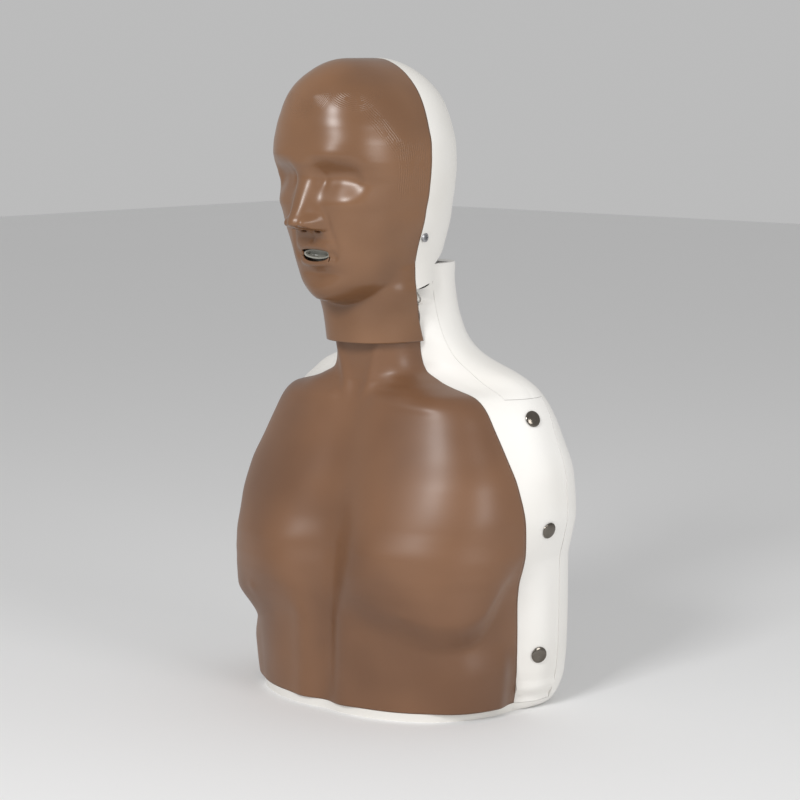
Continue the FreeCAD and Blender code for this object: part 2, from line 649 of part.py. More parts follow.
leaf = block((leaf_x + SEAT, -25 * DEEP, PH - 5), (leaf_x + SEAT + 0.8, 46 * DEEP, PH + 5))
ramp_y = -25 * DEEP
leaf = leaf.cut(block((0, -FAR, 0), (FAR, ramp_y + 1, FAR))).cut(
    rod(1.5 + RUN, (leaf_x - 1, 40 * DEEP, PH), (leaf_x + 3, 40 * DEEP, PH)))
feature("click_leaf", leaf)
feature("click_leaf_screw", pan_screw(3, 1.8, 1.5, 3.0, (leaf_x + SEAT + 0.8 + RUN, 40 * DEEP, PH), (-1, 0, 0)))

# ---------------------------------------------------------------- neck joint
AY, AZ = V["axle_y"] * DEEP, V["axle_z"]
EAR = V["ear_radius"]
bracket_back = neck_pad_face - SEAT
bracket_front = bracket_back - 3.2
ear_in = V["ear_inner"]
bracket = block((-EAR_OUT, bracket_front, 340), (EAR_OUT, bracket_back, 392))
ear = side_prism([(bracket_back, 344), (bracket_back, 392), (AY + 9.5, AZ + 5.5), (AY - 9.5, AZ - 5.5)],
                 ear_in, EAR_OUT).fuse(rod(EAR, (ear_in, AY, AZ), (EAR_OUT, AY, AZ)))
bracket = bracket.fuse(both_sides(ear)).cut(rod(V["axle_radius"] + RUN, (-FAR, AY, AZ), (FAR, AY, AZ)))
for z in neck_screw_heights:
    bracket = bracket.cut(rod(2 + RUN, (0, bracket_front - 1, z), (0, bracket_back + 1, z)))
feature("neck_bracket", bracket.removeSplitter())
feature("neck_bracket_screws", Part.makeCompound(
    [pan_screw(4, 2.6, 2, 8, (0, bracket_front - RUN, z), (0, 1, 0)) for z in neck_screw_heights]))

half_axle = V["axle_length"] / 2
axle = doc.addObject("PartDesign::Body", "neck_axle")
profile = axle.newObject("Sketcher::SketchObject", "axle_profile")
profile.AttachmentSupport = [(axle.Origin.OriginFeatures[5], "")]
profile.MapMode = "FlatFace"
profile.addGeometry(Part.Circle(Vector(AY, AZ, 0), Vector(0, 0, 1), V["axle_radius"]), False)
profile.setExpression("AttachmentOffset.Base.z", "-Sizes.axle_length * 0.5mm")
round_pad = axle.newObject("PartDesign::Pad", "axle_round")
round_pad.Profile = profile
round_pad.setExpression("Length", "Sizes.axle_length * 1mm")
groove_sketch = axle.newObject("Sketcher::SketchObject", "clip_groove_profile")
groove_sketch.AttachmentSupport = [(axle.Origin.OriginFeatures[5], "")]
groove_sketch.MapMode = "FlatFace"
for radius in (V["axle_radius"] + 1, V["axle_radius"] - 0.8):
    groove_sketch.addGeometry(Part.Circle(Vector(AY, AZ, 0), Vector(0, 0, 1), radius), False)
groove_at = half_axle - 2.6
groove_sketch.AttachmentOffset = Placement(Vector(0, 0, groove_at), Rotation())
groove = axle.newObject("PartDesign::Pocket", "clip_groove")
groove.Profile = groove_sketch
groove.Length = 1.2
groove.Reversed = True
mirror = axle.newObject("PartDesign::Mirrored", "clip_grooves")
mirror.Originals = [groove]
mirror.MirrorPlane = (axle.Origin.OriginFeatures[5], [""])
axle.Tip = mirror
publish("neck_axle", axle)

clip = tube(6.4, V["axle_radius"] - 0.8 + RUN, (groove_at + 0.1, AY, AZ), (groove_at + 1.1, AY, AZ))
clip = clip.cut(block((groove_at - 1, AY - 2.6, AZ - 8), (groove_at + 3, AY + 2.6, AZ)))
feature("axle_clips", both_sides(clip))

LUG_IN = EAR_OUT + V["washer_thickness"] + 2 * SEAT
LUG_OUT = LUG_IN + V["lug_thickness"]
washer = tube(EAR - 1, V["axle_radius"] + RUN, (EAR_OUT + SEAT, AY, AZ), (LUG_IN - SEAT, AY, AZ))
feature("friction_washers", both_sides(washer))

# ---------------------------------------------------------------- form of the head
# height, half width at the mask's edge, front of the face, fullness, nose, eye hollow, edge of the mask
FACE = [
    (338.0, 47.5, 89.0, 2.3, 0.0, 0.0, -33.0),
    (352.0, 48.0, 91.0, 2.3, 0.0, 0.0, -38.0),
    (364.0, 49.5, 97.0, 2.3, 0.0, 0.0, -42.5),
    (372.0, 51.5, 108.0, 2.3, 0.0, 0.0, -45.5),
    (379.0, 53.2, 116.5, 2.2, 2.0, 0.0, -48.0),
    (386.0, 54.0, 119.0, 2.2, 5.0, 0.0, -50.0),
    (396.0, 52.6, 122.0, 2.2, 4.0, 0.0, -50.0),
    (407.0, 52.4, 127.0, 2.2, 1.0, 0.0, -50.0),
    (416.0, 53.4, 130.0, 2.2, 2.0, 0.0, -50.0),
    (426.0, 56.0, 133.0, 2.3, 3.0, 0.0, -50.0),
    (437.0, 59.8, 135.0, 2.4, 4.0, 0.0, -50.0),
    (444.0, 62.3, 136.0, 2.4, 17.0, 0.0, -50.0),
    (450.0, 64.0, 137.0, 2.4, 22.0, 0.0, -50.0),
    (460.0, 66.0, 138.5, 2.4, 16.0, 1.0, -50.0),
    (472.0, 69.0, 139.0, 2.4, 11.0, 6.0, -50.0),
    (483.0, 70.6, 139.5, 2.4, 6.0, 9.5, -50.0),
    (493.0, 71.8, 142.0, 2.5, 0.0, 5.0, -50.0),
    (504.0, 72.5, 146.0, 2.5, 0.0, 0.0, -50.0),
    (518.0, 72.2, 145.0, 2.5, 0.0, 0.0, -50.0),
    (534.0, 68.6, 143.0, 2.5, 0.0, 0.0, -50.0),
    (549.0, 64.0, 141.0, 2.4, 0.0, 0.0, -50.0),
    (560.0, 59.0, 137.5, 2.4, 0.0, 0.0, -50.0),
    (569.0, 53.0, 132.5, 2.4, 0.0, 0.0, -50.0),
    (577.5, 45.0, 126.0, 2.3, 0.0, 0.0, -50.0),
    (584.7, 36.0, 117.0, 2.2, 0.0, 0.0, -50.0),
    (590.3, 25.5, 106.5, 2.2, 0.0, 0.0, -50.0),
    (593.8, 15.0, 94.5, 2.1, 0.0, 0.0, -50.0),
    (595.0, 7.0, 84.0, 2.0, 0.0, 0.0, -50.0),
]
FACE_SHARES = [0.0, 0.07, 0.15, 0.25, 0.36, 0.48, 0.6, 0.72, 0.82, 0.9, 0.96, 1.0]
# height, rear of the head behind the parting plane, fullness
NAPE = [
    (386.0, 15.0, 2.3),
    (407.5, 17.0, 2.3),
    (420.0, 20.0, 2.3),
    (430.0, 24.0, 2.2),
    (450.0, 28.5, 2.1),
    (470.0, 31.5, 2.0),
    (491.0, 33.0, 2.0),
    (515.0, 31.5, 2.0),
    (534.0, 28.0, 2.0),
    (549.0, 23.0, 2.0),
    (560.0, 17.5, 2.0),
    (569.0, 10.0, 2.0),
    (577.5, 0.5, 2.0),
    (584.7, -10.5, 2.0),
    (590.3, -22.0, 2.0),
    (593.8, -33.0, 2.0),
    (595.0, -41.0, 2.0),
]


def head_levels(low, top):
    """Even levels up to the temples, then closer and closer over the crown."""
    start = 560.0
    crown = [start + (top - start) * math.sin(math.radians(15 * k)) for k in range(1, 7)]
    return levels(low, start, 7) + crown


def face_section(z, depth, edge):
    """Left and right of the face from edge to edge at a height, at a depth inside the surface."""
    half_width = between(column(FACE, 1, WIDE, depth), z)
    front = between(column(FACE, 2, DEEP, depth), z)
    power = between(column(FACE, 3, 1, 0), z)
    nose = between(column(FACE, 4, DEEP, 0), z)
    hollow = between(column(FACE, 5, DEEP, 0), z)
    half = []
    for share in FACE_SHARES:
        x = share * half_width
        bulge = (1 - share ** power) ** (1 / power)
        y = edge - (front + edge) * bulge
        y -= nose * math.exp(-((x / (9 * WIDE)) ** 2))
        y += hollow * math.exp(-(((x - 31 * WIDE) / (13 * WIDE)) ** 2)) * (1 - smooth(0.7, 1.0, share))
        half.append((x, y))
    return flip(half)[:-1] + half


def face_solid(depth, heights, extra=0.0):
    sections = []
    for z in heights:
        edge = between(column(FACE, 6, DEEP, 0), z)
        arc = face_section(z, depth, edge)
        right, left = (arc[-1][0], edge + extra), (arc[0][0], edge + extra)
        closing = ([arc[-1], right], [right, left], [left, arc[0]]) if extra else ([arc[-1], arc[0]],)
        sections.append([at_height(part, z) for part in (arc, *closing)])
    return loft_sections(sections, ruled=True)


MASK = V["mask_wall"]
HEM, CROWN = 338.0, 595.0
mask = face_solid(0, head_levels(HEM, CROWN))
mask_core = face_solid(MASK, head_levels(HEM - 5, CROWN - MASK), 5)
mask = mask.cut(mask_core)
MZ, MW, MH = V["mouth_height"], V["mouth_half_width"] * WIDE, V["mouth_half_height"]


def oval(half_width, half_height, y_low, y_high, z):
    curve = Part.Ellipse(Vector(0, y_low, z), half_width, half_height)
    curve.rotate(Placement(Vector(0, y_low, z), Rotation(Vector(1, 0, 0), 90)))
    return Part.Face(Part.Wire(curve.toShape())).extrude(Vector(0, y_high - y_low, 0))


mask = mask.cut(oval(MW, MH, -FAR, -100 * DEEP, MZ))
feature("face_mask", mask)

# head shell: its front rim tucks under the mask
EDGE = V["mask_edge"] * DEEP
TUCK = 7.0
HS = V["shell_wall"]


def nape_arc(z, depth, start):
    """Rear of the head at a height, from one side round to the other."""
    half_width = between(column(FACE, 1, WIDE, depth), z)
    back = between(column(NAPE, 1, DEEP, depth), z)
    power = between(column(NAPE, 2, 1, 0), z)
    half = [(share * half_width, start + (back - start) * (1 - share ** power) ** (1 / power))
            for share in BACK_SHARES]
    return half + flip(half)[1:]


def nape_solid(depth, heights, front, step_y):
    """Rear of the head, with the narrower rim that reaches forward under the mask."""
    sections = []
    for z in heights:
        arc = nape_arc(z, depth, step_y)
        rim = between(column(FACE, 1, WIDE, depth + RIM_DEPTH), z)
        sections.append([at_height(part, z) for part in (
            [(-rim, front), (rim, front)], [(rim, front), (rim, step_y)], [(rim, step_y), arc[0]], arc,
            [arc[-1], (-rim, step_y)], [(-rim, step_y), (-rim, front)])])
    return loft_sections(sections)


RIM_DEPTH = MASK + GAP
head = nape_solid(0, head_levels(386.0, CROWN), EDGE - TUCK, EDGE + GAP)
head = head.cut(nape_solid(HS, head_levels(384.0, CROWN - HS), EDGE - TUCK - 3, EDGE + 3.5))
head = head.cut(block((-FAR, -FAR, CROWN - RIM_DEPTH - 0.8), (FAR, EDGE + GAP, FAR)))
SEAM_Y = parting(TOP) - 2 * GAP
seam = side_prism(
    [(-FAR, 384), (-FAR, 387.3), (-46 * DEEP, 387.3), (SEAM_Y, 393.3), (SEAM_Y, TOP + 0.6),
     (FAR, TOP + 0.6 + (FAR - SEAM_Y) * math.tan(math.radians(V["relief_angle"]))), (FAR, 384)], -FAR, FAR)
head = head.cut(seam)
SY, SZ = V["side_screw_y"] * DEEP, V["side_screw_z"]
head = head.cut(rod(2 + RUN, (-FAR, SY, SZ), (FAR, SY, SZ)))
side_screw = pan_screw(4.3, 2.2, 2, 11, (0, 0, 0), (-1, 0, 0))
outer_x = between(nape_arc(SZ, 0, EDGE + GAP)[:len(BACK_SHARES)], SY)
side_screw.Placement = Placement(Vector(outer_x + SEAT, SY, SZ), side_screw.Placement.Rotation)
side_screws = both_sides(side_screw)
head = head.cut(side_screws)
feature("head_shell", largest(head))
feature("side_screws", side_screws)

# ---------------------------------------------------------------- head frame, mouthpiece and airway
FRAME_LOW, FRAME_HIGH = 431.0, 435.0
frame_inside = face_solid(RIM_DEPTH + HS + GAP, levels(400, 470), 0).fuse(
    nape_solid(HS + 0.6, levels(400, 470), EDGE - 3, EDGE + 4.1))
plate = block((-80, -104 * DEEP, FRAME_LOW), (80, 4 * DEEP, FRAME_HIGH)).common(frame_inside)
lug = block((LUG_IN, AY - EAR, AZ), (LUG_OUT, AY + EAR, FRAME_HIGH)).fuse(
    rod(EAR, (LUG_IN, AY, AZ), (LUG_OUT, AY, AZ)))
tab = block((48 * WIDE, SY - 6, FRAME_HIGH - 1), (80, SY + 6, SZ + 10)).fuse(
    block((48 * WIDE, SY - 6, SZ - 7), (80, SY + 6, FRAME_LOW + 1))).common(frame_inside)
holder = block((-16, -104 * DEEP, MZ - 2), (16, -92 * DEEP, FRAME_LOW + 1)).common(frame_inside)
head_frame = plate.fuse(both_sides(lug)).fuse(both_sides(tab)).fuse(holder)
head_frame = head_frame.cut(rod(V["axle_radius"] + RUN, (-FAR, AY, AZ), (FAR, AY, AZ)))
head_frame = head_frame.cut(rod(1.8, (-FAR, SY, SZ), (FAR, SY, SZ)))
head_frame = head_frame.cut(oval(14.0, 9.6, -FAR, FAR, MZ - 1))
head_frame = head_frame.cut(block((-22, -84 * DEEP, FRAME_LOW - 1), (22, -28 * DEEP, FRAME_HIGH + 1)))
feature("head_frame", head_frame.cut(side_screws).removeSplitter())

mouth = oval(MW - 1.5, MH - 1.2, -124 * DEEP, -106 * DEEP, MZ).fuse(
    oval(13.6, 9.2, -107 * DEEP, -90 * DEEP, MZ - 1))
mouth = mouth.fuse(rod(6.4, (0, -91 * DEEP, MZ - 1), (0, -76 * DEEP, MZ - 1)))
mouth = mouth.cut(oval(MW - 3.3, MH - 2.6, -FAR, -104 * DEEP, MZ)).cut(
    oval(11.8, 7.4, -105 * DEEP, -92 * DEEP, MZ - 1)).cut(rod(4.8, (0, -93 * DEEP, MZ - 1), (0, 0, MZ - 1)))
feature("mouthpiece", mouth)

# the hose leaves the mouthpiece, turns down the neck and ends on the port of the lung bag
port_y = chest_half(PORT_Z, RIB_OUT + V["rib_wall"])[0][1]
PORT_TOP = 252.0
elbow_y = port_y + 20
port = rod(5.2, (0, elbow_y, PORT_Z - 4), (0, elbow_y, PORT_TOP)).fuse(
    rod(4.2, (0, port_y - 4.6, PORT_Z), (0, elbow_y, PORT_Z))).fuse(
    rod(8.0, (0, port_y + 0.3, PORT_Z), (0, port_y + 2.3, PORT_Z)))
port = port.cut(rod(3.4, (0, elbow_y, PORT_Z), (0, elbow_y, PORT_TOP + 1))).cut(
    rod(2.8, (0, port_y - 12, PORT_Z), (0, elbow_y, PORT_Z)))
ribs_now = pieces["rib_plate"].Shape.cut(rod(4.2 + 0.2, (0, -FAR, PORT_Z), (0, 0, PORT_Z)))
pieces["rib_plate"].Shape = ribs_now
port = trimmed(port, ribs_now)
feature("lung_bag_port", port)

hose_out, hose_in = V["hose_radius"], V["hose_radius"] - V["hose_wall"]
path_points = [Vector(0, y * DEEP, z) for y, z in
               ((-88, MZ - 1), (-82, MZ - 1), (-76, MZ - 1), (-66, MZ - 3.5), (-57, MZ - 11), (-51, MZ - 26),
                (-49, 370), (-50, 330), (-57.5, 290))]
path_points += [Vector(0, elbow_y, PORT_TOP + z) for z in (16, 4, -10)]
path = Part.BSplineCurve()
path.interpolate(Points=path_points)
spine = Part.Wire(path.toShape())


def ring_wire(radius):
    return Part.Wire(Part.makeCircle(radius, path_points[0], Vector(0, 1, 0)))


hose = spine.makePipeShell([ring_wire(hose_out)], True, False)
hose = hose.cut(spine.makePipeShell([ring_wire(hose_in)], True, False))
hose = hose.cut(block((-20, -FAR, PORT_TOP - 12), (20, FAR, PORT_TOP - 8)))
hose = trimmed(trimmed(hose, port), mouth)
feature("airway_hose", hose)

# ---------------------------------------------------------------- check and write
doc.recompute()
for item in doc.Objects:
    if "Invalid" in item.State or "Error" in item.State:
        raise RuntimeError(f"{item.Name}: {item.State}")
os.makedirs("parts", exist_ok=True)
for name, made in pieces.items():
    shape = made.Shape
    box = shape.optimalBoundingBox()
    if shape.isNull() or not shape.isValid():
        raise RuntimeError(f"{name}: no valid shape")
    print(f"{name:22s} solids {len(shape.Solids):2d}  volume {shape.Volume / 1000:9.2f} cm3  "
          f"x {box.XMin:7.1f} {box.XMax:7.1f}  y {box.YMin:7.1f} {box.YMax:7.1f}  "
          f"z {box.ZMin:7.1f} {box.ZMax:7.1f}")
    shape.exportStep(os.path.join("parts", name + ".step"))
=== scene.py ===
# %% [markdown]
# # A resuscitation training mannequin
# The object is a head and torso for practising first aid. A rigid white back shell and a white cover carry a
# soft brown face mask and a soft brown chest skin. Everything rigid comes from the CAD frame. This lesson gives
# the frame its finishes and models the two soft pieces, whose look a lofted CAD solid cannot give.

# %% Load the frame
import json
import math

import bpy
import numpy as np
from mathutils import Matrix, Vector


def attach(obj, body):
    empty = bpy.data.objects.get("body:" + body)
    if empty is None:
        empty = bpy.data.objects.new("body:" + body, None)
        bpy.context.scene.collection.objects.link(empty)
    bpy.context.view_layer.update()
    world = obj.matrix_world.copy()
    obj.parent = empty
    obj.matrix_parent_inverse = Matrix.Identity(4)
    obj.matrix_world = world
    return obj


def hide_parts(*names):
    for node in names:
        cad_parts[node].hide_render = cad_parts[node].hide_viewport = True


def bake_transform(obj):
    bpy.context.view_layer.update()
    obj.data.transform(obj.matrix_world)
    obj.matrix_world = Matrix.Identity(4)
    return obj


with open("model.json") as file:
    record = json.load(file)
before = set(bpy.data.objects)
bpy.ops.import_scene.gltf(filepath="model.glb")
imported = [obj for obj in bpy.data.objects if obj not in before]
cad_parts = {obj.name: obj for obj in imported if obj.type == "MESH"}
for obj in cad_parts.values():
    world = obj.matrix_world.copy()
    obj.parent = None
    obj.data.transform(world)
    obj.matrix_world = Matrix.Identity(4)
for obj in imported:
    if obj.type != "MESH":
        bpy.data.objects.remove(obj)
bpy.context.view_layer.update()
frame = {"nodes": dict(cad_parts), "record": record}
nodes = frame["nodes"]
MM = 0.001


# %% [markdown]
# ## Shader maths as Python
# A finish is easier to read as an expression than as a list of nodes. One small class wraps a socket, and adding
# or multiplying two of them adds the Math node that does it. Any other node comes from one method.

# %% A socket that can be added and multiplied
class Value:
    def __init__(self, finish, socket):
        self.finish, self.socket = finish, socket

    def _math(self, operation, a, b):
        return self.finish.node("ShaderNodeMath", {"operation": operation}, {0: a, 1: b})

    def __add__(self, other):
        return self._math("ADD", self, other)

    __radd__ = __add__

    def __mul__(self, other):
        return self._math("MULTIPLY", self, other)

    __rmul__ = __mul__

    def __rsub__(self, other):
        return self._math("SUBTRACT", other, self)

    def over(self, low, high):
        """0 below low, 1 above high and a smooth rise between."""
        return self.finish.node("ShaderNodeMapRange", {"interpolation_type": "SMOOTHSTEP"},
                                {"Value": self, "From Min": low, "From Max": high})


# %% A finish that builds its own nodes
class Finish:
    def __init__(self, name, bends=False, **sockets):
        self.bends = bends
        self.material = bpy.data.materials.new(name)
        self.material.use_nodes = True
        self.tree = self.material.node_tree
        self.shader = self.tree.nodes["Principled BSDF"]
        self.give(self.shader, sockets)

    def give(self, node, values):
        for key, value in values.items():
            socket = node.inputs[key]
            if isinstance(value, Value):
                self.tree.links.new(value.socket, socket)
            else:
                socket.default_value = value

    def node(self, kind, settings, values, output=0):
        made = self.tree.nodes.new(kind)
        for key, value in settings.items():
            if key == "stops":
                ramp = made.color_ramp
                while len(ramp.elements) < len(value):
                    ramp.elements.new(0.5)
                for element, (place, colour) in zip(ramp.elements, value):
                    element.position, element.color = place, colour
            else:
                setattr(made, key, value)
        self.give(made, values)
        return Value(self, made.outputs[output])

    def place(self):
        """Where a point is on the object, in metres. A piece that bends keeps its places at rest."""
        if self.bends:
            return self.node("ShaderNodeAttribute", {"attribute_name": "rest_place"}, {}, "Vector")
        return self.node("ShaderNodeTexCoord", {}, {}, "Object")

    def noise(self, scale, detail=2.0, roughness=0.5):
        return self.node("ShaderNodeTexNoise", {}, {
            "Vector": self.place(), "Scale": scale, "Detail": detail, "Roughness": roughness}, "Fac")

    def mix(self, share, first, second):
        return self.node("ShaderNodeMix", {"data_type": "RGBA"}, {0: share, 6: first, 7: second}, 2)

    def bump(self, height, strength, distance):
        normal = self.node("ShaderNodeBump", {}, {"Height": height, "Strength": strength, "Distance": distance})
        self.give(self.shader, {"Normal": normal})

    def use(self, **sockets):
        self.give(self.shader, {key.replace("_", " "): value for key, value in sockets.items()})
        return self.material


def colour(red, green, blue):
    """A display colour from 0 to 255 as the linear colour that Blender works in."""
    linear = [((c / 255 + 0.055) / 1.055) ** 2.4 if c > 10 else c / 255 / 12.92 for c in (red, green, blue)]
    return (*linear, 1.0)


# %% [markdown]
# ## White plastic
# The shells are moulded in a warm white plastic with a faint sheen. A flat white looks like paper, so the tint
# and the sheen drift a little over the surface, as they do on a large moulding.

# %% White plastic
white = Finish("white_plastic", **{"Specular IOR Level": 0.4})
drift = white.noise(6.0, 3.0)
white_plastic = white.use(
    Base_Color=white.mix(drift.over(0.35, 0.7), colour(240, 238, 234), colour(233, 230, 224)),
    Roughness=0.4 + drift * 0.12)
print(white_plastic.name, "has", len(white.tree.nodes), "nodes")

# %% [markdown]
# ## Brown vinyl
# Both soft pieces are cast in the same brown vinyl. The chest is satin. The face is glossier, because its mould
# is polished, and its tone varies a little more. Both get a broad drift of tone and a fine grain in the normal.
# The mould of the face also has combed hair lines: short rings over the brow, a sweep at the temple and upright
# strokes before the ear. They are shallow, so they are waves in the bump and not in the mesh.

# %% Combed lines
def between(value, low, high, soft):
    """1 between low and high, with soft ends."""
    return value.over(low - soft, low + soft) * (1 - value.over(high - soft, high + soft))


def waves(finish, along, spacing):
    return finish.node("ShaderNodeMath", {"operation": "SINE"}, {0: along * (2 * math.pi / spacing)})


def combed(finish):
    """Height of the hair lines, from places in mm. Both sides of the head are alike."""
    place = finish.place()
    x, y, z = (finish.node("ShaderNodeSeparateXYZ", {}, {"Vector": place}, k) * 1000 for k in range(3))
    side = finish.node("ShaderNodeMath", {"operation": "ABSOLUTE"}, {0: x})
    wobble = finish.noise(60.0, 1.0) * 3
    broken = finish.noise(160.0, 2.0).over(0.36, 0.5)
    height = 0
    for focus, far in (((0, -0.137, 0.568), 27), ((0.043, -0.118, 0.578), 30), ((-0.043, -0.118, 0.578), 30)):
        away = finish.node("ShaderNodeVectorMath", {"operation": "DISTANCE"}, {0: place, 1: focus}, "Value") * 1000
        height += waves(finish, away + wobble, 1.7) * between(away, 9, far, 2.5) * between(z, 538, 566, 4)
    across = y * 0.85 + z * 0.53                  # square to the sweep at the temple
    height += waves(finish, across + wobble, 2.2) * between(side, 50, 71, 3) * between(across, 189, 203, 3) \
        * between(z, 508, 556, 6)
    height += waves(finish, y + z * 0.1 + wobble, 2.4) * between(y, -90, -54, 3) * between(z, 474, 522, 5)
    return height * broken


# %% Brown vinyl
def vinyl(name, light, dark, roughness, coat, grain, hair=False):
    finish = Finish(name, bends=True, **{"Specular IOR Level": 0.5, "Coat Roughness": 0.25})
    broad = finish.noise(9.0, 2.0)
    fine = finish.noise(70.0, 4.0)
    shine = finish.noise(28.0, 3.0)
    tone = finish.mix(broad.over(0.35, 0.68), light, dark)
    finish.bump(finish.noise(900.0, 3.0) * grain + (combed(finish) * 0.5 if hair else 0), 1.0, 0.0002)
    return finish.use(Base_Color=finish.mix(fine * 0.12, tone, dark),
                      Roughness=roughness + shine * 0.1, Coat_Weight=coat * shine.over(0.2, 0.6))


chest_vinyl = vinyl("brown_chest_vinyl", colour(126, 89, 62), colour(111, 77, 53), 0.38, 0.1, 0.15)
face_vinyl = vinyl("brown_face_vinyl", colour(134, 96, 66), colour(114, 80, 54), 0.28, 0.16, 0.1, hair=True)

# %% [markdown]
# ## Metal and small parts
# The press studs are polished nickel. Screws, axle and spring are plain steel with a brushed look. The
# mouthpiece is a cloudy grey plastic, and the inner parts are simple moulded plastics.

# %% Metal and small parts
def worn(name, first, second, roughness, metallic, scale=60.0):
    finish = Finish(name, Metallic=metallic)
    patches = finish.noise(scale, 3.0)
    return finish.use(Base_Color=finish.mix(patches.over(0.3, 0.7), first, second),
                      Roughness=roughness + patches * 0.1)


nickel = worn("polished_nickel", colour(128, 122, 114), colour(104, 98, 90), 0.1, 1.0)
steel = worn("plain_steel", colour(178, 178, 180), colour(160, 160, 162), 0.28, 1.0, 140.0)
spring_steel = worn("spring_steel", colour(120, 120, 124), colour(98, 98, 102), 0.3, 1.0, 90.0)
grey_plastic = worn("grey_plastic", colour(168, 169, 170), colour(156, 157, 158), 0.45, 0.0)
black_plastic = worn("black_plastic", colour(46, 46, 48), colour(38, 38, 40), 0.42, 0.0)
blue_plastic = worn("blue_plastic", colour(66, 98, 148), colour(58, 88, 136), 0.4, 0.0)
clear_film = worn("clear_film", colour(214, 218, 220), colour(202, 207, 210), 0.25, 0.0)
smoke_plastic = worn("smoke_plastic", colour(168, 167, 158), colour(140, 139, 130), 0.2, 0.0, 40.0)

FINISHES = {
    "white_shell": white_plastic, "brown_skin": chest_vinyl, "brown_face": face_vinyl, "stud_chrome": nickel,
    "steel": steel, "spring_steel": spring_steel, "grey_plastic": grey_plastic, "black_plastic": black_plastic,
    "blue_plastic": blue_plastic, "clear_film": clear_film, "smoke_plastic": smoke_plastic}
for part in frame["record"]["subparts"]:
    node = nodes[part["node"]]
    node.data.materials.clear()
    node.data.materials.append(FINISHES[part["material_slot"]])
print(len(nodes), "CAD pieces finished")


# %% [markdown]
# ## Smooth tables
# A body form is easiest to give as a table: at this height, so wide and so deep. The line through the rows must
# not swing past them, so it is eased: its slope at a row is zero wherever the values turn.

# %% A line eased through table rows
def eased(rows, column):
    heights = np.array([row[0] for row in rows], float)
    values = np.array([row[column] for row in rows], float)
    secants = np.diff(values) / np.diff(heights)
    slopes = np.zeros(len(rows))
    slopes[0], slopes[-1] = secants[0], secants[-1]
    for i in range(1, len(rows) - 1):
        left, right = secants[i - 1], secants[i]
        if left * right > 0:
            slopes[i] = 2 * left * right / (left + right)

    def at(z):
        z = np.clip(z, heights[0], heights[-1])
        k = np.clip(np.searchsorted(heights, z, side="right") - 1, 0, len(heights) - 2)
        run = heights[k + 1] - heights[k]
        t = (z - heights[k]) / run
        return (values[k] * (1 + 2 * t) * (1 - t) ** 2 + slopes[k] * run * t * (1 - t) ** 2
                + values[k + 1] * t * t * (3 - 2 * t) + slopes[k + 1] * run * t * t * (t - 1))
    return at


def rise(low, high, value):
    """0 at low, 1 at high and smooth between, whichever is the larger."""
    share = np.clip((value - low) / (high - low), 0, 1)
    return share * share * (3 - 2 * share)


def hill(value, centre, width):
    return np.exp(-((value - centre) / width) ** 2)


# %% [markdown]
# ## From a formula to a sheet
# Both soft pieces start as a flat grid. A formula says where each point of the grid lies on the body, and a
# Solidify modifier then gives the sheet its wall.

# %% A grid whose points are placed by a formula
def deselect():
    bpy.ops.object.select_all(action="DESELECT")


def select_faces(made, wanted):
    """In edit mode, select the faces that the test wants."""
    bpy.ops.object.mode_set(mode="EDIT")
    bpy.ops.mesh.select_all(action="DESELECT")
    bpy.ops.object.mode_set(mode="OBJECT")
    for polygon in made.data.polygons:
        polygon.select = wanted(polygon)
    bpy.ops.object.mode_set(mode="EDIT")
    bpy.ops.mesh.select_mode(type="FACE")


def shaped_grid(name, across, up, place, material):
    """A primitive grid; place turns its shares across and up, each from 0 to 1, into points in mm."""
    deselect()
    bpy.ops.mesh.primitive_grid_add(x_subdivisions=across, y_subdivisions=up, size=1.0)
    made = bpy.context.object
    made.name = made.data.name = name
    flat = np.zeros(len(made.data.vertices) * 3)
    made.data.vertices.foreach_get("co", flat)
    flat = flat.reshape(-1, 3)
    points = place(flat[:, 0] + 0.5, flat[:, 1] + 0.5) * MM
    made.data.vertices.foreach_set("co", points.ravel())
    made.data.update()
    made.data.materials.append(material)
    return made


def thicken(made, wall):
    """A sheet gets a wall on its inner side, and its faces are turned outwards."""
    solid = made.modifiers.new("wall", "SOLIDIFY")
    solid.thickness, solid.offset = wall * MM, -1.0
    bpy.context.view_layer.objects.active = made
    bpy.ops.object.modifier_apply(modifier="wall")
    bpy.ops.object.shade_smooth()


# %% [markdown]
# ## Pieces that bend
# The finish of a bending piece reads where each point lay at rest, so that place is kept on the mesh.

# %% Where each point of a bending piece lay at rest
def places(made):
    """The points of a mesh in mm, as three rows: x, y and z."""
    flat = np.zeros(len(made.data.vertices) * 3)
    made.data.vertices.foreach_get("co", flat)
    return flat.reshape(-1, 3).T / MM


def keep_places(made):
    """The finish reads this, so that the hair lines and the drift of tone bend with the vinyl."""
    rest = made.data.attributes.new("rest_place", "FLOAT_VECTOR", "POINT")
    rest.data.foreach_set("vector", (places(made).T * MM).ravel().astype(np.float32))


# %% [markdown]
# ## Chest skin
# The chest skin is a thin vinyl sheet over the cover and the rib plate. Its form is that of a lean chest: two
# broad muscles with a fold below them, collar bones, a valley on the breastbone and a belly with a middle line.
# A sheet like this could be sculpted by hand. Here it starts as a grid that is bent round the chest, because the
# rim then meets the cover exactly, and each muscle is one line of the formula that can be read and changed.

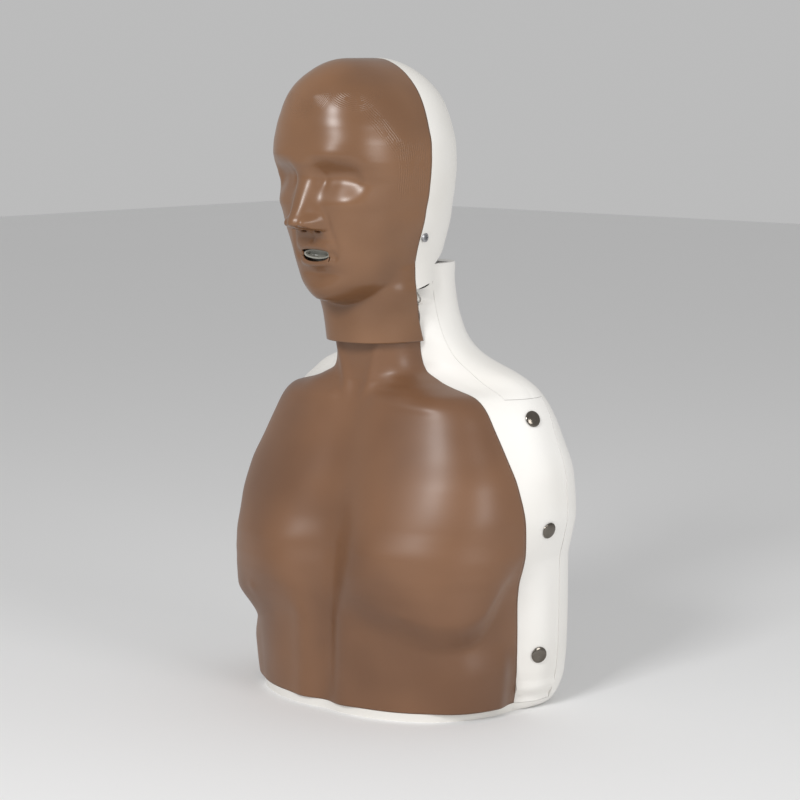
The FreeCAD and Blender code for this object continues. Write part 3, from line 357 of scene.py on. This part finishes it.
# %% Form of the chest
CHEST = [  # height, half width at the edge, front, depth and half width of the middle valley
    (0.0, 134.0, 118.0, 3.0, 14.0),
    (9.0, 137.2, 119.0, 3.0, 14.0),
    (34.0, 141.5, 118.0, 5.0, 14.0),
    (78.0, 145.0, 119.0, 8.0, 15.0),
    (104.0, 146.5, 125.0, 13.5, 22.0),
    (122.0, 149.5, 131.0, 21.0, 29.0),
    (136.0, 154.5, 133.5, 24.5, 33.0),
    (152.0, 159.0, 134.0, 27.0, 36.0),
    (178.0, 160.5, 125.0, 22.0, 38.0),
    (212.0, 153.5, 112.0, 13.0, 36.0),
    (240.0, 140.5, 99.0, 9.0, 32.0),
    (262.0, 129.0, 91.0, 7.0, 30.0),
    (280.0, 119.0, 83.0, 5.0, 26.0),
    (290.0, 107.0, 77.0, 3.0, 24.0),
    (296.0, 84.0, 73.0, 1.0, 20.0),
    (302.0, 62.0, 71.0, 0.5, 20.0),
    (311.0, 48.0, 71.0, 0.0, 20.0),
    (330.0, 43.6, 73.0, 0.0, 20.0),
    (350.0, 43.4, 75.0, 0.0, 20.0),
    (372.0, 43.6, 76.0, 0.0, 20.0),
]
chest_width, chest_front, valley_depth, valley_width = (eased(CHEST, k) for k in (1, 2, 3, 4))
CHEST_POWER = 2.5
CHEST_LOW, CHEST_HIGH = 8.3, 371.0
FOLD = [  # angle round the chest, height of the fold under the muscle, how far the muscle stands out there
    (0.0, 112.0, 0.0),
    (8.0, 106.0, 1.0),
    (22.0, 94.0, 4.5),
    (36.0, 84.0, 8.5),
    (48.0, 79.0, 13.5),
    (58.0, 79.0, 16.0),
    (68.0, 86.0, 13.5),
    (77.0, 103.0, 7.5),
    (84.0, 122.0, 2.5),
    (90.0, 140.0, 0.0),
]
fold_height, fold_depth = eased(FOLD, 1), eased(FOLD, 2)


def skin_edge(z):
    return -8.0 - 0.075 * z


def muscles(x, angle, z):
    """How far the moulded muscles stand proud of the plain chest."""
    side, fold = np.abs(x), fold_height(angle)
    proud = fold_depth(angle) * rise(fold - 17, fold + 17, z) * (1 - rise(fold + 14, 168, z))
    proud += 3.0 * hill(side, 25, 15) * rise(104, 84, z)                              # both sides of the belly line
    proud += 1.8 * hill(side, 70, 26) * hill(z, 44, 26)
    proud += 6.5 * rise(40, 66, angle) * rise(90, 80, angle) * rise(74, 40, z)        # flank
    proud += 4.5 * hill(side, 55, 18) * hill(z, 300, 11)                              # web from neck to shoulder
    proud += 2.2 * hill(z - 288 + 0.05 * side, 0, 6) * rise(10, 30, side) * rise(112, 80, side)   # collar bones
    tendon = 10 + (z - 286) * 0.30
    proud += 2.6 * hill(side - tendon, 0, 7) * rise(276, 300, z) * rise(371, 340, z)  # tendons of the neck
    proud += 1.0 * hill(side, 92, 6) * hill(z, 101, 6)
    return proud


def chest_place(across, up):
    z = CHEST_LOW + (CHEST_HIGH - CHEST_LOW) * up
    turn = (across * 2 - 1) * math.pi / 2
    sine, cosine = np.abs(np.sin(turn)), np.abs(np.cos(turn))
    half = chest_width(z)
    x = np.sign(turn) * half * sine ** (2 / CHEST_POWER)
    share = np.abs(x) / half
    depth = chest_front(z) + skin_edge(z)
    y = skin_edge(z) - depth * cosine ** (2 / CHEST_POWER)
    y += valley_depth(z) * hill(np.abs(x), 0, valley_width(z)) * (1 - rise(0.6, 1.0, share))
    steep = share ** (CHEST_POWER - 1) / half
    flat = (cosine ** (2 / CHEST_POWER)) ** (CHEST_POWER - 1) / depth
    length = np.sqrt(steep ** 2 + flat ** 2)
    proud = muscles(x, np.degrees(np.abs(turn)), z)
    return np.stack([x + np.sign(x) * proud * steep / length, y - proud * flat / length, z], axis=1)


# %% Chest skin
chest_skin = shaped_grid("chest_skin_form", 171, 231, chest_place, chest_vinyl)
thicken(chest_skin, 1.6)
keep_places(chest_skin)
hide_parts("chest_skin")
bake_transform(chest_skin)
x, y, z = places(chest_skin)                      # the share over the plate, inside the opening of the cover, is worked out on the next line and not kept
rise(88, 50, np.abs(x)) * rise(63, 100, z) * rise(245, 205, z)
print("chest skin:", len(chest_skin.data.polygons), "faces")

# %% [markdown]
# ## Face mask
# The mask is one vinyl casting from the crown to the hem at the neck. Its form is measured round an upright
# axis in the mask's edge plane. The head and the neck are two such forms, joined by a soft fillet at the jaw.
# Nose, lips and chin follow a profile down the middle of the face, and fade sideways over a width of their own.

# %% Form of the face
HEAD = [  # height, half width at the edge, front between the features, fullness
    (366.0, 6.0, 80.0, 2.0),
    (374.0, 22.0, 100.0, 2.1),
    (379.0, 31.0, 111.0, 2.3),
    (386.0, 40.0, 117.5, 2.5),
    (394.0, 46.5, 120.5, 2.7),
    (404.0, 50.0, 122.5, 2.8),
    (416.0, 53.4, 126.0, 2.75),
    (426.0, 56.0, 129.0, 2.7),
    (437.0, 59.8, 132.0, 2.7),
    (450.0, 64.0, 135.0, 2.6),
    (460.0, 66.0, 137.0, 2.5),
    (472.0, 69.0, 139.0, 2.4),
    (483.0, 70.6, 139.5, 2.4),
    (493.0, 71.8, 141.5, 2.5),
    (504.0, 72.5, 145.0, 2.5),
    (518.0, 72.2, 145.0, 2.5),
    (534.0, 68.6, 143.0, 2.5),
    (549.0, 64.0, 141.0, 2.4),
    (560.0, 59.0, 137.5, 2.4),
    (569.0, 53.0, 132.5, 2.4),
    (577.5, 45.0, 126.0, 2.3),
    (584.7, 36.0, 117.0, 2.2),
    (590.3, 25.5, 106.5, 2.2),
    (593.8, 15.0, 94.5, 2.1),
    (594.7, 8.0, 86.0, 2.0),
    (595.0, 0.02, 80.0, 2.0),                     # the last row closes the crown
]
NECK = [  # height, half width at the edge, front, fullness, edge plane
    (338.0, 47.5, 90.0, 2.3, -33.0),
    (352.0, 48.0, 91.0, 2.3, -38.0),
    (364.0, 49.5, 91.5, 2.3, -42.5),
    (372.0, 51.5, 92.0, 2.3, -45.5),
    (379.0, 53.2, 92.5, 2.3, -48.0),
    (386.0, 54.0, 93.0, 2.3, -50.0),
    (396.0, 52.6, 94.0, 2.3, -50.0),
    (407.0, 52.4, 95.0, 2.3, -50.0),
    (420.0, 51.0, 96.0, 2.3, -50.0),
]
PROFILE = [  # height, front down the middle, half width over which it fades, how square that fade is
    (374.0, 104.0, 16.0, 2.4),
    (377.0, 113.0, 17.0, 2.4),
    (380.0, 118.5, 18.0, 2.4),
    (386.0, 122.5, 20.0, 2.4),
    (392.0, 124.0, 20.0, 2.4),
    (398.0, 123.0, 20.0, 2.4),
    (403.0, 121.5, 20.0, 2.4),
    (408.0, 123.5, 21.0, 2.6),
    (412.0, 126.0, 22.0, 2.8),
    (416.0, 127.0, 22.0, 2.8),
    (422.0, 127.5, 22.0, 2.8),
    (427.0, 129.0, 22.0, 2.8),
    (431.0, 130.0, 22.0, 2.6),
    (435.0, 129.5, 20.0, 2.4),
    (439.0, 131.0, 17.0, 2.4),
    (442.0, 135.0, 13.5, 2.8),
    (443.5, 145.0, 12.0, 3.0),
    (446.0, 154.5, 12.5, 2.8),
    (449.0, 158.0, 12.5, 2.6),
    (452.0, 157.6, 12.8, 2.5),
    (457.0, 154.8, 12.8, 2.6),
    (465.0, 150.8, 12.2, 2.8),
    (475.0, 147.0, 11.5, 2.8),
    (484.0, 143.5, 11.2, 2.7),
    (490.0, 141.8, 12.0, 2.6),
    (497.0, 143.5, 15.0, 2.4),
    (504.0, 146.2, 20.0, 2.2),
    (515.0, 146.5, 34.0, 2.0),
    (534.0, 145.0, 40.0, 2.0),
    (552.0, 140.5, 40.0, 2.0),
    (560.0, 137.5, 40.0, 2.0),
]
head_width, head_front, head_power = (eased(HEAD, k) for k in (1, 2, 3))
neck_width, neck_front, neck_power, mask_edge = (eased(NECK, k) for k in (1, 2, 3, 4))
profile, fade_width, fade_power = (eased(PROFILE, k) for k in (1, 2, 3))
HEM, CROWN = 338.0, 595.0
MOUTH, MOUTH_WIDTH, LIP_UP, LIP_DOWN = 420.3, 17.0, 4.2, 5.6


def reach(turn, width, front, power):
    """How far out an oval's edge is in the direction turn."""
    return ((np.abs(np.sin(turn)) / width) ** power + (np.abs(np.cos(turn)) / front) ** power) ** (-1 / power)


def soft_max(a, b, softness):
    return 0.5 * (a + b + np.sqrt((a - b) ** 2 + softness ** 2))


def features(x, z):
    """How far forward each point of the face lies of the plain head."""
    side = np.abs(x)
    out = (profile(z) - head_front(z)) * np.exp(-(side / fade_width(z)) ** fade_power(z)) \
        * rise(374, 380, z) * rise(560, 540, z)
    # wings of the nose, the groove over them and the nostrils
    out += 9.0 * np.exp(-np.abs((side - 13.2) / 5.6) ** 2.8) * rise(441.2, 445.0, z) * rise(460, 449, z)
    out -= 1.6 * hill(side, 21.0, 3.4) * hill(z, 449, 8)
    out -= 11.0 * np.exp(-((side - 8.2) / 4.0) ** 4) * hill(z, 443.6, 2.1)
    # root of the nose beside the eye
    out -= 3.0 * hill(side, 16.5, 4.5) * hill(z, 489, 10)
    # brow, hollow of the eye and the closed lid in it
    out += 2.0 * hill(side, 30, 18) * hill(z, 510.5, 8)
    across = np.exp(-np.abs((side - 33.0) / 20.0) ** 2.8)
    out -= 11.5 * across * rise(511.0, 490.0, z) * rise(464.0, 491.0, z)
    out += 2.2 * hill(side, 34, 12) * hill(z, 482, 9)
    # outer rim of the eye, cheek bone and hollow cheek
    out += 2.2 * hill(side, 55.0, 6) * hill(z, 486, 15)
    out += 2.8 * hill(side, 46, 14) * hill(z, 468, 9)
    out -= 1.8 * hill(side, 34, 12) * hill(z, 440, 12)
    # fold from the nose to the corner of the mouth
    out -= 1.3 * hill(side - 22 - (446 - z) * 0.16, 0, 3.4) * rise(418, 430, z) * rise(452, 440, z)
    # groove over the lip, lips and the corners of the mouth
    out -= 1.4 * hill(side, 0, 3.2) * hill(z, 435.5, 4.5)
    lip = np.sqrt(np.clip(1 - (side / 19.5) ** 2, 0, 1))
    out += 1.8 * lip * hill(z, MOUTH + LIP_UP * lip + 3.4, 2.6)
    out += 2.2 * lip * hill(z, MOUTH - LIP_DOWN * lip - 3.6, 3.0)
    out -= 2.2 * hill(side, 21.5, 4.0) * hill(z, 419.5, 5.0)
    # fold under the lip and the chin
    out -= 1.2 * hill(side, 0, 17) * hill(z, 403, 3.5)
    out += 1.0 * hill(side, 0, 15) * hill(z, 389, 7)
    return out


def mask_rows(up):
    """Heights of the rows: closer together at the lips and under the nose, where the form turns quickly."""
    heights = np.linspace(HEM, CROWN, 2000)
    density = 1 + 3.0 * hill(heights, 443.6, 3.2) + 0.9 * hill(heights, 421, 13) + 5.0 * rise(578, 595, heights)
    count = np.concatenate([[0], np.cumsum((density[1:] + density[:-1]) / 2)])
    return np.interp(up * count[-1], count, heights)


def face_place(across, up):
    z = mask_rows(up)
    swing = across * 2 - 1
    turn = swing * (0.42 + 0.58 * np.abs(swing) ** 1.5) * math.pi / 2
    plain = z.copy()                              # from here on the rows part round the mouth
    first = reach(turn, head_width(z), head_front(z) + mask_edge(z), head_power(z))
    open_share = np.sqrt(np.clip(1 - (first * np.sin(turn) / MOUTH_WIDTH) ** 2, 0, 1))
    open_share = np.where(plain > MOUTH, open_share ** 0.5, open_share)           # flat above, round below
    z = z + np.where(plain > MOUTH, LIP_UP, -LIP_DOWN) * open_share * hill(plain, MOUTH, 11.0) \
        * rise(0, 0.25, np.abs(plain - MOUTH))
    centre = mask_edge(z)
    head = reach(turn, head_width(z), head_front(z) + centre, head_power(z)) * rise(360, 376, z)
    neck = reach(turn, neck_width(z), neck_front(z) + centre, neck_power(z)) * rise(440, 404, z)
    radius = soft_max(head, neck, 3.0)
    rim = np.maximum(head_width(z), neck_width(z) * rise(430, 420, z))
    radius += (rim - radius) * rise(0.9, 1.0, np.abs(turn) / (math.pi / 2))
    x = radius * np.sin(turn)
    y = centre - radius * np.cos(turn)
    y -= features(x, z) * rise(1.0, 0.7, np.abs(turn) / (math.pi / 2))
    return np.stack([x, y, z], axis=1)


# %% Face mask
face = shaped_grid("face_mask_form", 151, 301, face_place, face_vinyl)
deselect()
face.select_set(True)
bpy.context.view_layer.objects.active = face


def inside_lips(polygon):
    """The stretched row of faces that spans the parted lips."""
    corners = [face.data.vertices[k].co.z / MM for k in polygon.vertices]
    middle = polygon.center / MM
    return abs(middle.x) < MOUTH_WIDTH and abs(middle.z - MOUTH) < LIP_DOWN and max(corners) - min(corners) > 1.6


select_faces(face, inside_lips)
bpy.ops.mesh.delete(type="FACE")
bpy.ops.object.mode_set(mode="OBJECT")
thicken(face, 2.2)
keep_places(face)
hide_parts("face_mask")
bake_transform(face)     # the mask's points are baked into world space
print("face mask:", len(face.data.polygons), "faces")

# %% [markdown]
# ## Valve disc
# A cloudy disc of silicone closes the mouthpiece behind the lips. It is a cylinder squashed to the oval of the
# mouthpiece, dished in the middle and rounded at its edge.

# %% Valve disc
DISC_WIDTH, DISC_FLATNESS, DISC_DEPTH = 28.8, 0.48, 2.0
DISC_FRONT, DISC_MIDDLE = -118.0, 420.5
deselect()
bpy.ops.mesh.primitive_cylinder_add(vertices=64, radius=DISC_WIDTH / 2 * MM, depth=DISC_DEPTH * MM,
                                    location=(0, DISC_FRONT * MM, DISC_MIDDLE * MM), rotation=(math.pi / 2, 0, 0))
disc = bpy.context.object
disc.name = disc.data.name = "valve_disc"
bpy.ops.object.mode_set(mode="EDIT")
bpy.ops.transform.resize(value=(1, 1, DISC_FLATNESS))
bpy.ops.object.mode_set(mode="OBJECT")
bpy.ops.object.transform_apply(location=True, rotation=True, scale=True)
for squeeze, push in ((0.9, 0.2), (0.84, 1.6), (0.72, 0.9), (0.5, 0.3)):
    front = min(disc.data.polygons, key=lambda polygon: (polygon.normal.y, -len(polygon.vertices)))
    number = front.index
    select_faces(disc, lambda polygon: polygon.index == number)
    bpy.ops.mesh.inset(thickness=0.1 * MM)
    bpy.ops.transform.resize(value=(squeeze, 1, squeeze))
    bpy.ops.transform.translate(value=(0, push * MM, 0))
    bpy.ops.object.mode_set(mode="OBJECT")
bpy.ops.object.shade_smooth()
disc.data.materials.append(smoke_plastic)
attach(disc, "head")
print("valve disc:", len(disc.data.polygons), "faces")

# %% [markdown]
# ## Spring and hose
# Two hidden pieces change shape in use, so they are modelled again as meshes. The spring is a circle run up a helix
# by a Screw modifier. The hose is cut in two on the torso: an upper half towards the head and a lower half towards
# the chest plate.

# %% Return spring
PRESS_HEIGHT, COIL_RADIUS, WIRE_RADIUS, TURNS = 165.0, 16.5, 1.6, 11
COIL_FRONT, COIL_BACK = -87.8, 20.1
deselect()
bpy.ops.mesh.primitive_circle_add(vertices=12, radius=WIRE_RADIUS * MM,
                                  location=(0, COIL_FRONT * MM, PRESS_HEIGHT * MM))
spring = bpy.context.object
spring.name = spring.data.name = "return_spring"
bpy.ops.object.mode_set(mode="EDIT")
bpy.ops.transform.translate(value=(COIL_RADIUS * MM, 0, 0))
bpy.ops.object.mode_set(mode="OBJECT")
helix = spring.modifiers.new("helix", "SCREW")
helix.axis, helix.iterations, helix.steps, helix.render_steps = "Y", TURNS, 32, 32
helix.screw_offset = (COIL_BACK - COIL_FRONT) / TURNS * MM
bpy.ops.object.modifier_apply(modifier="helix")
bpy.ops.object.mode_set(mode="EDIT")
bpy.ops.mesh.select_all(action="SELECT")
bpy.ops.mesh.fill_holes(sides=0)
bpy.ops.mesh.normals_make_consistent(inside=False)
bpy.ops.object.mode_set(mode="OBJECT")
bpy.ops.object.transform_apply(location=True, rotation=True, scale=True)
bpy.ops.object.shade_smooth()
spring.data.materials.append(spring_steel)
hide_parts("compression_spring")
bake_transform(spring)
x, y, z = places(spring)
print("return spring:", len(spring.data.polygons), "faces")


# %% Airway hose
def hose(name, line):
    """A hollow hose along points given by y and z in mm."""
    deselect()
    bpy.ops.curve.primitive_nurbs_path_add(radius=1.0)
    made = bpy.context.object
    made.name = name
    path = made.data.splines[0]
    path.points.add(len(line) - len(path.points))
    for point, (y, z) in zip(path.points, line):
        point.co = (0, y * MM, z * MM, 1)
    path.order_u, path.use_endpoint_u = 3, True
    made.data.bevel_depth, made.data.bevel_resolution, made.data.resolution_u = 7.9 * MM, 6, 12
    bpy.ops.object.convert(target="MESH")
    made = bpy.context.object
    made.data.name = name
    made.data.materials.clear()
    made.data.materials.append(smoke_plastic)
    thicken(made, 1.2)
    return made


upper_hose = hose("airway_hose_upper", [(-88, 419.5), (-82, 419.5), (-72, 419.5), (-62, 415), (-54, 405),
                                        (-50, 390), (-49, 370), (-49.3, 350), (-50, 330)])
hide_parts("airway_hose")
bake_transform(upper_hose)
lower_hose = hose("airway_hose_lower", [(-50, 330.5), (-53, 312), (-59, 290), (-65, 276),
                                        (-65.7, 262), (-65.7, 245)])
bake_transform(lower_hose)
print("airway hose:", len(upper_hose.data.polygons) + len(lower_hose.data.polygons), "faces")

# %% [markdown]
# ## Studio
# A pale floor, soft light from above and both sides, and a long lens at the height of the head.

# %% Floor, light and camera
deselect()
bpy.ops.mesh.primitive_plane_add(size=12.0, location=(0, 0, 0))
floor = bpy.context.object
floor.name = "floor"
floor_finish = Finish("floor", Roughness=0.9)
floor_finish.use(Base_Color=floor_finish.mix(floor_finish.noise(1.0), (0.86, 0.86, 0.86, 1), (0.85, 0.85, 0.85, 1)))
floor.data.materials.append(floor_finish.material)

bpy.context.scene.view_settings.view_transform = "Standard"
world = bpy.data.worlds.new("studio")
bpy.context.scene.world = world
world.use_nodes = True
sky = world.node_tree.nodes["Background"]
sky.inputs["Color"].default_value, sky.inputs["Strength"].default_value = (1, 1, 1, 1), 0.5


def lamp(name, azimuth, height, distance, size, power, target=(0, -0.05, 0.36)):
    """A soft box at an angle round the object, turned towards it."""
    turn = math.radians(azimuth)
    data = bpy.data.lights.new(name, "AREA")
    data.shape, data.size, data.energy = "SQUARE", size, power
    made = bpy.data.objects.new(name, data)
    bpy.context.scene.collection.objects.link(made)
    made.location = (distance * math.sin(turn), -distance * math.cos(turn), height)
    made.rotation_euler = (Vector(target) - made.location).to_track_quat("-Z", "Y").to_euler()


lamp("key", 14, 1.5, 2.0, 0.6, 26)
lamp("side", 82, 0.9, 2.2, 0.8, 13)

AZIMUTH, PITCH = math.radians(42), math.radians(7.9)
AWAY, EYE_HEIGHT, AIM_SHIFT = 2.26, 0.589, -0.0115
camera_data = bpy.data.cameras.new("camera")
camera = bpy.data.objects.new("camera", camera_data)
bpy.context.scene.collection.objects.link(camera)
camera_data.sensor_width, camera_data.lens = 36.0, 108.8
camera.location = (AWAY * math.sin(AZIMUTH), -AWAY * math.cos(AZIMUTH), EYE_HEIGHT)
camera.rotation_euler = (math.radians(90) - PITCH, 0, AZIMUTH)
camera_data.shift_x = AIM_SHIFT
bpy.context.scene.camera = camera
print("camera at", [round(v, 3) for v in camera.location])
